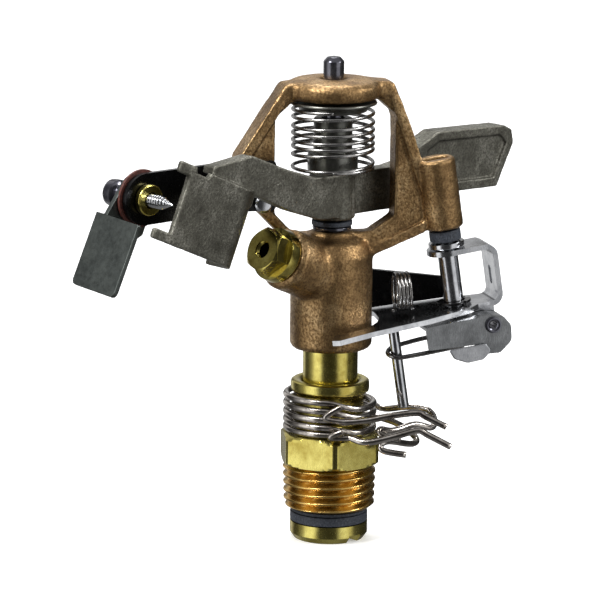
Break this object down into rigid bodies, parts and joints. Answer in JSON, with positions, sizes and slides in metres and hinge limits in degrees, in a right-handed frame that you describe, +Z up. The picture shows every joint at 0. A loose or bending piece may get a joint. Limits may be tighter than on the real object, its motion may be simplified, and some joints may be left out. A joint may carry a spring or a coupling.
{
  "type": "impact sprinkler",
  "caption": "Part-circle impact sprinkler with a male inlet thread, sprung impact arm, diffuser screw, deflector flap, trip lever and friction collars.",
  "frame": {"origin": "on the bearing axis at the lower face of the inlet flange", "axes": "+Z up along the bearing axis, the jet leaves towards -Y, the trip lever is on the +X +Y side"},
  "size_m": [0.0494, 0.1211, 0.111],
  "materials": {
    "brass": "turned, slightly dulled",
    "bronze": "sand-cast bronze, grainy",
    "cast_arm": "cast, matt grey-green",
    "stainless": "bright stamped stainless steel",
    "flap_steel": "satin grey sheet",
    "dark_steel": "dark polished steel",
    "black_steel": "glossy black",
    "spring_wire": "drawn spring wire",
    "rubber": "matt",
    "fibre": "dark red fibre"
  },
  "bodies": {
    "inlet": {"bearing_nipple": "brass"},
    "lower_friction_collar": {"lower_collar": "spring_wire"},
    "upper_friction_collar": {"upper_collar": "spring_wire"},
    "rotor": {"stem_tube": "brass", "thrust_washer": "rubber", "wear_washer": "rubber", "spring_sleeve": "brass", "bearing_spring": "spring_wire", "sprinkler_body": "bronze", "nozzle": "brass", "fulcrum_pin": "dark_steel", "lower_arm_washer": "dark_steel", "upper_arm_washer": "rubber", "arm_spring": "spring_wire", "spring_cap": "dark_steel", "deflector_bracket": "black_steel", "upper_bracket_screw": "stainless", "lower_bracket_screw": "stainless", "diffuser_bush": "brass", "fibre_washer": "fibre", "trip_pivot_pin": "stainless", "retaining_clip": "black_steel", "rubber_trip_washer": "rubber", "steel_trip_washer": "stainless", "over_centre_spring": "spring_wire"},
    "arm": {"impact_arm": "cast_arm", "arm_bush": "dark_steel"},
    "flap": {"deflector_flap": "flap_steel"},
    "diffuser": {"diffuser_screw": "dark_steel"},
    "trip": {"trip_bracket": "stainless", "trip_shoe": "black_steel"},
    "flip": {"flip_lever": "stainless", "lever_hinge_pin": "stainless", "trip_pin": "stainless", "trip_wire": "spring_wire"}
  },
  "joints": [
    {"name": "body_spin", "type": "hinge", "parent": "inlet", "child": "rotor", "pos_m": [0, 0, 0.04], "axis": [0, 0, 1], "range_deg": [-5, 300]},
    {"name": "lower_collar_turn", "type": "hinge", "parent": "inlet", "child": "lower_friction_collar", "pos_m": [0, 0, 0.0268], "axis": [0, 0, 1], "range_deg": [-12, 4]},
    {"name": "upper_collar_turn", "type": "hinge", "parent": "inlet", "child": "upper_friction_collar", "pos_m": [0, 0, 0.0314], "axis": [0, 0, 1], "range_deg": [-10, 8]},
    {"name": "arm_swing", "type": "hinge", "parent": "rotor", "child": "arm", "pos_m": [0, 0, 0.0795], "axis": [0, 0, 1], "range_deg": [0, 110], "stiffness_Nm_per_rad": 0.03, "springref_deg": -40.11, "deforming": ["arm_spring"]},
    {"name": "flap_swing", "type": "hinge", "parent": "rotor", "child": "flap", "pos_m": [-0.0104, -0.0491, 0.0831], "axis": [-1, 0, 0], "range_deg": [-20, 90]},
    {"name": "diffuser_slide", "type": "slide", "parent": "rotor", "child": "diffuser", "axis": [1, 0, 0], "range_m": [-0.006, 0]},
    {"name": "trip_swing", "type": "hinge", "parent": "rotor", "child": "trip", "pos_m": [0.01469, 0.02214, 0.066], "axis": [-0.0817, -0.121, 0.9893], "range_deg": [0, 9], "deforming": ["over_centre_spring"]},
    {"name": "flip_up", "type": "hinge", "parent": "trip", "child": "flip", "pos_m": [0.01864, 0.02905, 0.05039], "axis": [0.8828, -0.4694, 0.0155], "range_deg": [0, 90]}
  ]
}
